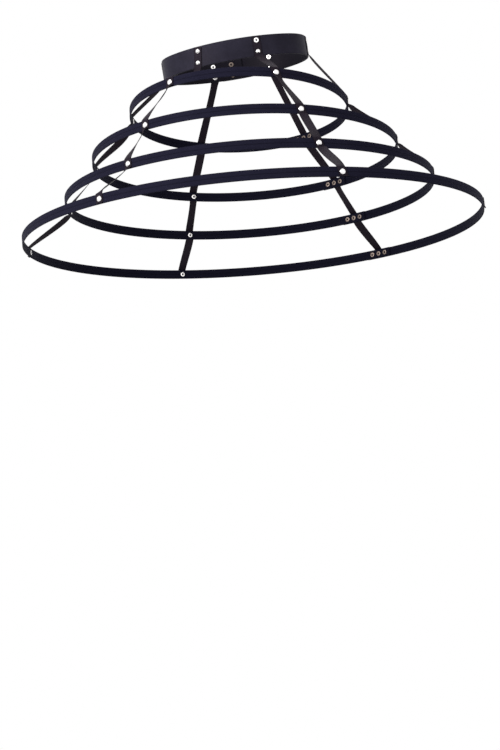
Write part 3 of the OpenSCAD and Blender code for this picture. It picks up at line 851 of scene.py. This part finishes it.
def rubber_material(name, dark, pale, back_tone_and_shade, gloss, rough_span, half_width):
    """Smooth sheet rubber: slight clouding, faint drawn streaks, another tone behind, which on the band is
    painted shade, and painted shade along the cut edges.
    """
    s = Shader(name)
    weave = s.add("Attribute", {"attribute_name": "weave"}).outputs["Vector"]
    across, outer = s.add("SeparateXYZ", Vector=weave).outputs[1:3]
    clouds = s.noise(weave, CLOUD_SCALE, detail=4.0, roughness=0.55)
    streaks = s.noise(s.stretch(weave, STREAK_STRETCH), 1.0, roughness=0.6)
    grain = s.noise(weave, GRAIN_SCALE, detail=2.0)
    body = s.mix(s.ramp(clouds, *NOISE_MIDDLE), dark, pale)
    streaked = s.mix(s.math("MULTIPLY", streaks, STREAK_SHARE), body, pale)
    # Painted shade: the dark colour that darkens the cut edges
    shaded = tuple(CUT_SHADE * c for c in dark[:3]) + (1,)
    # The back face: another tone on the straps, painted shade on the band
    back = tuple(back_tone_and_shade * c for c in dark[:3]) + (1,)
    faced = s.mix(s.ramp(outer, *FACE_TURN), back, streaked)
    rim = s.ramp(s.math("ABSOLUTE", across), half_width - CUT_EDGE, half_width, 0.0, CUT_SHARE)
    colour = s.mix(rim, faced, shaded)
    cloudy, streaky = s.math("MULTIPLY", clouds, CLOUD_ROUGH), s.math("MULTIPLY", streaks, STREAK_ROUGH)
    rough = s.ramp(s.math("ADD", cloudy, streaky), *NOISE_MIDDLE, *rough_span)
    height = s.math("ADD", s.math("MULTIPLY", grain, GRAIN_SHARE), streaks)
    normal = s.bump(height, *RUBBER_BUMP)
    s.principled(colour, rough, normal, Specular_IOR_Level=gloss, Specular_Tint=RUBBER_TINT)
    return s.material


NICKEL_BRIGHT = (0.97, 0.955, 0.945, 1), (0.90, 0.88, 0.87, 1)
NICKEL_BROWN = (0.235, 0.185, 0.160, 1), (0.150, 0.118, 0.102, 1)
# Grime with painted shade: its colour, the span of its mask, and its unevenness
GRIME_AND_SHADE_COLOUR, GRIME_AND_SHADE_SPAN, GRIME_AND_SHADE_SPOTS = (0.030, 0.026, 0.025, 1), (0.35, 0.95), 0.3
SPOT_SCALE, SCRATCH_STRETCH = 900.0, (900.0, 900.0, 9000.0)
NICKEL_ROUGH, TARNISH_ROUGH = (0.18, 0.30), 0.2
NICKEL_BUMP = (0.00002, 0.2)


def nickel_material():
    """Polished nickel with fine scratches: brown where it is tarnished, dark with grime and painted shade
    in the hollows and at the rims that meet what they hold.
    """
    s = Shader("rivet_nickel")
    place = s.add("TexCoord").outputs["Object"]
    wear = s.add("Attribute", {"attribute_name": "wear"}).outputs["Vector"]
    dirt_and_shade, tarnish = s.add("SeparateXYZ", Vector=wear).outputs[:2]
    spots = s.noise(place, SPOT_SCALE, detail=4.0, roughness=0.6)
    scratches = s.noise(s.stretch(place, SCRATCH_STRETCH), 1.0, detail=2.0)
    metal = s.mix(tarnish, s.mix(spots, *NICKEL_BRIGHT), s.mix(spots, *NICKEL_BROWN))
    # Painted shade with grime darkens sockets, bores, mouths, and the rims where caps and flanges meet
    # straps and tapes
    uneven = s.math("MULTIPLY", s.math("SUBTRACT", spots, 0.5), GRIME_AND_SHADE_SPOTS)
    grime_and_shade = s.ramp(s.math("ADD", dirt_and_shade, uneven), *GRIME_AND_SHADE_SPAN)
    colour = s.mix(grime_and_shade, metal, GRIME_AND_SHADE_COLOUR)
    dull = s.math("MULTIPLY", tarnish, TARNISH_ROUGH)
    rough = s.math("ADD", s.ramp(spots, *NOISE_MIDDLE, *NICKEL_ROUGH), dull)
    normal = s.bump(scratches, *NICKEL_BUMP)
    s.principled(colour, rough, normal, Metallic=1.0)
    return s.material


STEEL_COLOURS = (0.42, 0.43, 0.46, 1), (0.60, 0.61, 0.64, 1)
BRUSH_STRETCH, STEEL_SCALE = (30.0, 30.0, 5200.0), 60.0
STEEL_ROUGH = (0.26, 0.4)
STEEL_BUMP = (0.00003, 0.4)


def steel_material():
    """Flat spring steel, brushed along its length."""
    s = Shader("bone_steel")
    place = s.add("TexCoord").outputs["Object"]
    lines = s.noise(s.stretch(place, BRUSH_STRETCH), 1.0, roughness=0.6)
    clouds = s.noise(place, STEEL_SCALE)
    colour = s.mix(lines, *STEEL_COLOURS)
    rough = s.ramp(clouds, *NOISE_MIDDLE, *STEEL_ROUGH)
    normal = s.bump(lines, *STEEL_BUMP)
    s.principled(colour, rough, normal, Metallic=1.0)
    return s.material


# Stage: a pale floor under the part, and soft light
WHITE = (1, 1, 1, 1)
FLOOR_Z = 0.0
FLOOR_R, FLOOR_SIDES = 14.0, 96
FLOOR_COLOURS, FLOOR_SCALE = ((0.90, 0.90, 0.90, 1), (0.93, 0.93, 0.93, 1)), 3.0
# Share of plain white under the part, and the distances between which it grows to all
FLOOR_WHITE = 0.3
FLOOR_CLEAR = (0.45, 1.3)
WORLD_TINT = (0.97, 0.98, 1, 1)
WORLD_LIGHT = 0.2
AIM = (0, 0, 0.15)
# Name, place in metres, width and height, watts
LAMPS = [
    ("key_left", (-2.4, -2.8, 1.0), (2.0, 2.0), 120),
    ("fill_front", (2.2, -3.2, 1.2), (2.4, 2.4), 28),
    ("top", (-0.4, 1.0, 3.2), (2.5, 2.5), 30),
]


def floor_material():
    """Pale near the part, where it takes the shadow, plain white further out and in mirrors, and clear
    from below."""
    s = Shader("floor_pale")
    place = s.add("TexCoord").outputs["Object"]
    reach = s.add("VectorMath", {"operation": "LENGTH"}, i0=place).outputs["Value"]
    colour = s.mix(s.noise(place, FLOOR_SCALE), *FLOOR_COLOURS)
    pale = s.add("BsdfDiffuse", Color=colour).outputs[0]
    white = s.add("Emission", Color=WHITE, Strength=1.0).outputs[0]
    path = s.add("LightPath").outputs
    mirrored = s.math("MAXIMUM", path["Is Glossy Ray"], path["Is Transmission Ray"])
    seen = s.math("MULTIPLY", s.ramp(reach, *FLOOR_CLEAR, FLOOR_WHITE), path["Is Camera Ray"])
    fade = s.math("MAXIMUM", seen, mirrored)
    top = s.add("MixShader", i0=fade, i1=pale, i2=white).outputs[0]
    clear = s.add("BsdfTransparent").outputs[0]
    below = s.add("NewGeometry").outputs["Backfacing"]
    both = s.add("MixShader", i0=below, i1=top, i2=clear).outputs[0]
    s.tree.links.new(both, s.output.inputs[0])
    return s.material


def make_floor():
    mesh = bpy.data.meshes.new("floor")
    shape = bmesh.new()
    bmesh.ops.create_circle(shape, cap_ends=True, segments=FLOOR_SIDES, radius=FLOOR_R)
    shape.to_mesh(mesh)
    shape.free()
    mesh.materials.append(floor_material())
    floor = bpy.data.objects.new("floor", mesh)
    floor.location.z = FLOOR_Z
    bpy.context.scene.collection.objects.link(floor)


def make_world():
    """White to the camera and in reflections, softer as a light."""
    world = bpy.data.worlds.new("studio")
    bpy.context.scene.world = world
    world.use_nodes = True
    tree = world.node_tree
    tree.nodes.clear()
    out = tree.nodes.new("ShaderNodeOutputWorld")
    shown, light = (tree.nodes.new("ShaderNodeBackground") for _ in range(2))
    shown.inputs[0].default_value = WHITE
    shown.inputs[1].default_value = 1.0
    light.inputs[0].default_value = WORLD_TINT
    light.inputs[1].default_value = WORLD_LIGHT
    path = tree.nodes.new("ShaderNodeLightPath")
    first, second = (tree.nodes.new("ShaderNodeMath") for _ in range(2))
    first.operation = second.operation = "MAXIMUM"
    mix = tree.nodes.new("ShaderNodeMixShader")
    tree.links.new(path.outputs["Is Camera Ray"], first.inputs[0])
    tree.links.new(path.outputs["Is Glossy Ray"], first.inputs[1])
    tree.links.new(first.outputs[0], second.inputs[0])
    tree.links.new(path.outputs["Is Transmission Ray"], second.inputs[1])
    tree.links.new(second.outputs[0], mix.inputs[0])
    tree.links.new(light.outputs[0], mix.inputs[1])
    tree.links.new(shown.outputs[0], mix.inputs[2])
    tree.links.new(mix.outputs[0], out.inputs[0])


def make_lamps():
    for name, place, size, watts in LAMPS:
        lamp = bpy.data.lights.new(name, "AREA")
        lamp.shape, lamp.size, lamp.size_y, lamp.energy = "RECTANGLE", size[0], size[1], watts
        holder = bpy.data.objects.new(name, lamp)
        holder.location = place
        holder.rotation_euler = (Vector(AIM) - Vector(place)).to_track_quat("-Z", "Y").to_euler()
        bpy.context.scene.collection.objects.link(holder)


# Camera, fitted to the hoops, the band and the rivets in the photograph
CAMERA_LENS, SENSOR_W = 99.0, 36
CAMERA_PLACE = (447.94, -3343.65, -704.43)
CAMERA_RIGHT = (0.98550663, 0.15017088, -0.0789011)
CAMERA_UP = (0.09797669, -0.12418478, 0.9874101)
CAMERA_FORWARD = (-0.13848193, 0.98082967, 0.13709817)


def make_camera():
    data = bpy.data.cameras.new("camera")
    data.sensor_width = SENSOR_W
    data.lens = CAMERA_LENS
    camera = bpy.data.objects.new("camera", data)
    turn = Matrix((CAMERA_RIGHT, CAMERA_UP, -Vector(CAMERA_FORWARD))).transposed().to_4x4()
    camera.matrix_world = Matrix.Translation(Vector(CAMERA_PLACE) * MM) @ turn
    bpy.context.scene.collection.objects.link(camera)
    bpy.context.scene.camera = camera


make_camera()
make_world()
make_lamps()
make_floor()
bpy.context.scene.view_settings.view_transform = "Standard"

twill = tape_material()
strap_rubber = rubber_material(
    "strap_rubber", STRAP_DARK, STRAP_PALE, STRAP_BACK, STRAP_GLOSS, STRAP_ROUGH, STRAP_W / 2 * MM
)
band_rubber = rubber_material(
    "waistband_rubber", BAND_DARK, BAND_PALE, BAND_BACK_SHADE, BAND_GLOSS, BAND_ROUGH, BAND_H / 2 * MM
)
nickel = nickel_material()
steel = steel_material()

band_loop = rounded_slab(BAND_T / 2, BAND_H / 2, BAND_ROUND, band_face, BAND_ROWS)
tape_loop = rounded_slab(TAPE_T / 2, TAPE_H / 2, TAPE_ROUND, tape_face, TAPE_ROWS)

for k in range(LAST_HOOP + 1):
    node = "waistband" if k == 0 else f"hoop_{k}"
    if k == 0:
        strip = ring_strip(k, "waistband_strip", [band_loop])
    else:
        strip = ring_strip(k, f"{node}_tape", [tape_loop, pocket(1), pocket(-1)])
    strip = punch(strip, [(k, r) for r in ring_rivets(k)])
    smooth(strip, STRIP_SMOOTH)
    if k == 0:
        new_piece("waistband_strip", strip, node, band_rubber)
    else:
        new_piece(f"{node}_tape", strip, f"{node}_casing", twill)
        for side in ("upper", "lower"):
            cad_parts[f"{node}_{side}_bone"].data.materials[0] = steel
    for part, posts in (("caps", False), ("posts", True)):
        mesh = rivets_mesh(k, f"{node}_{part}", posts)
        new_piece(f"{node}_{part}", mesh, f"{node}_rivet_{part}", nickel)

for j, place in enumerate(STRAP_NAMES):
    web = strap_mesh(j, f"strap_{place}_web")
    held = [
        (k, r) for k in range(LAST_HOOP + 1) for r in ring_rivets(k)
        if r.straps and r.angle == strap_angle(k, j)
    ]
    web = punch(web, held)
    smooth(web, STRIP_SMOOTH)
    new_piece(f"strap_{place}_web", web, f"strap_{place}", strap_rubber)
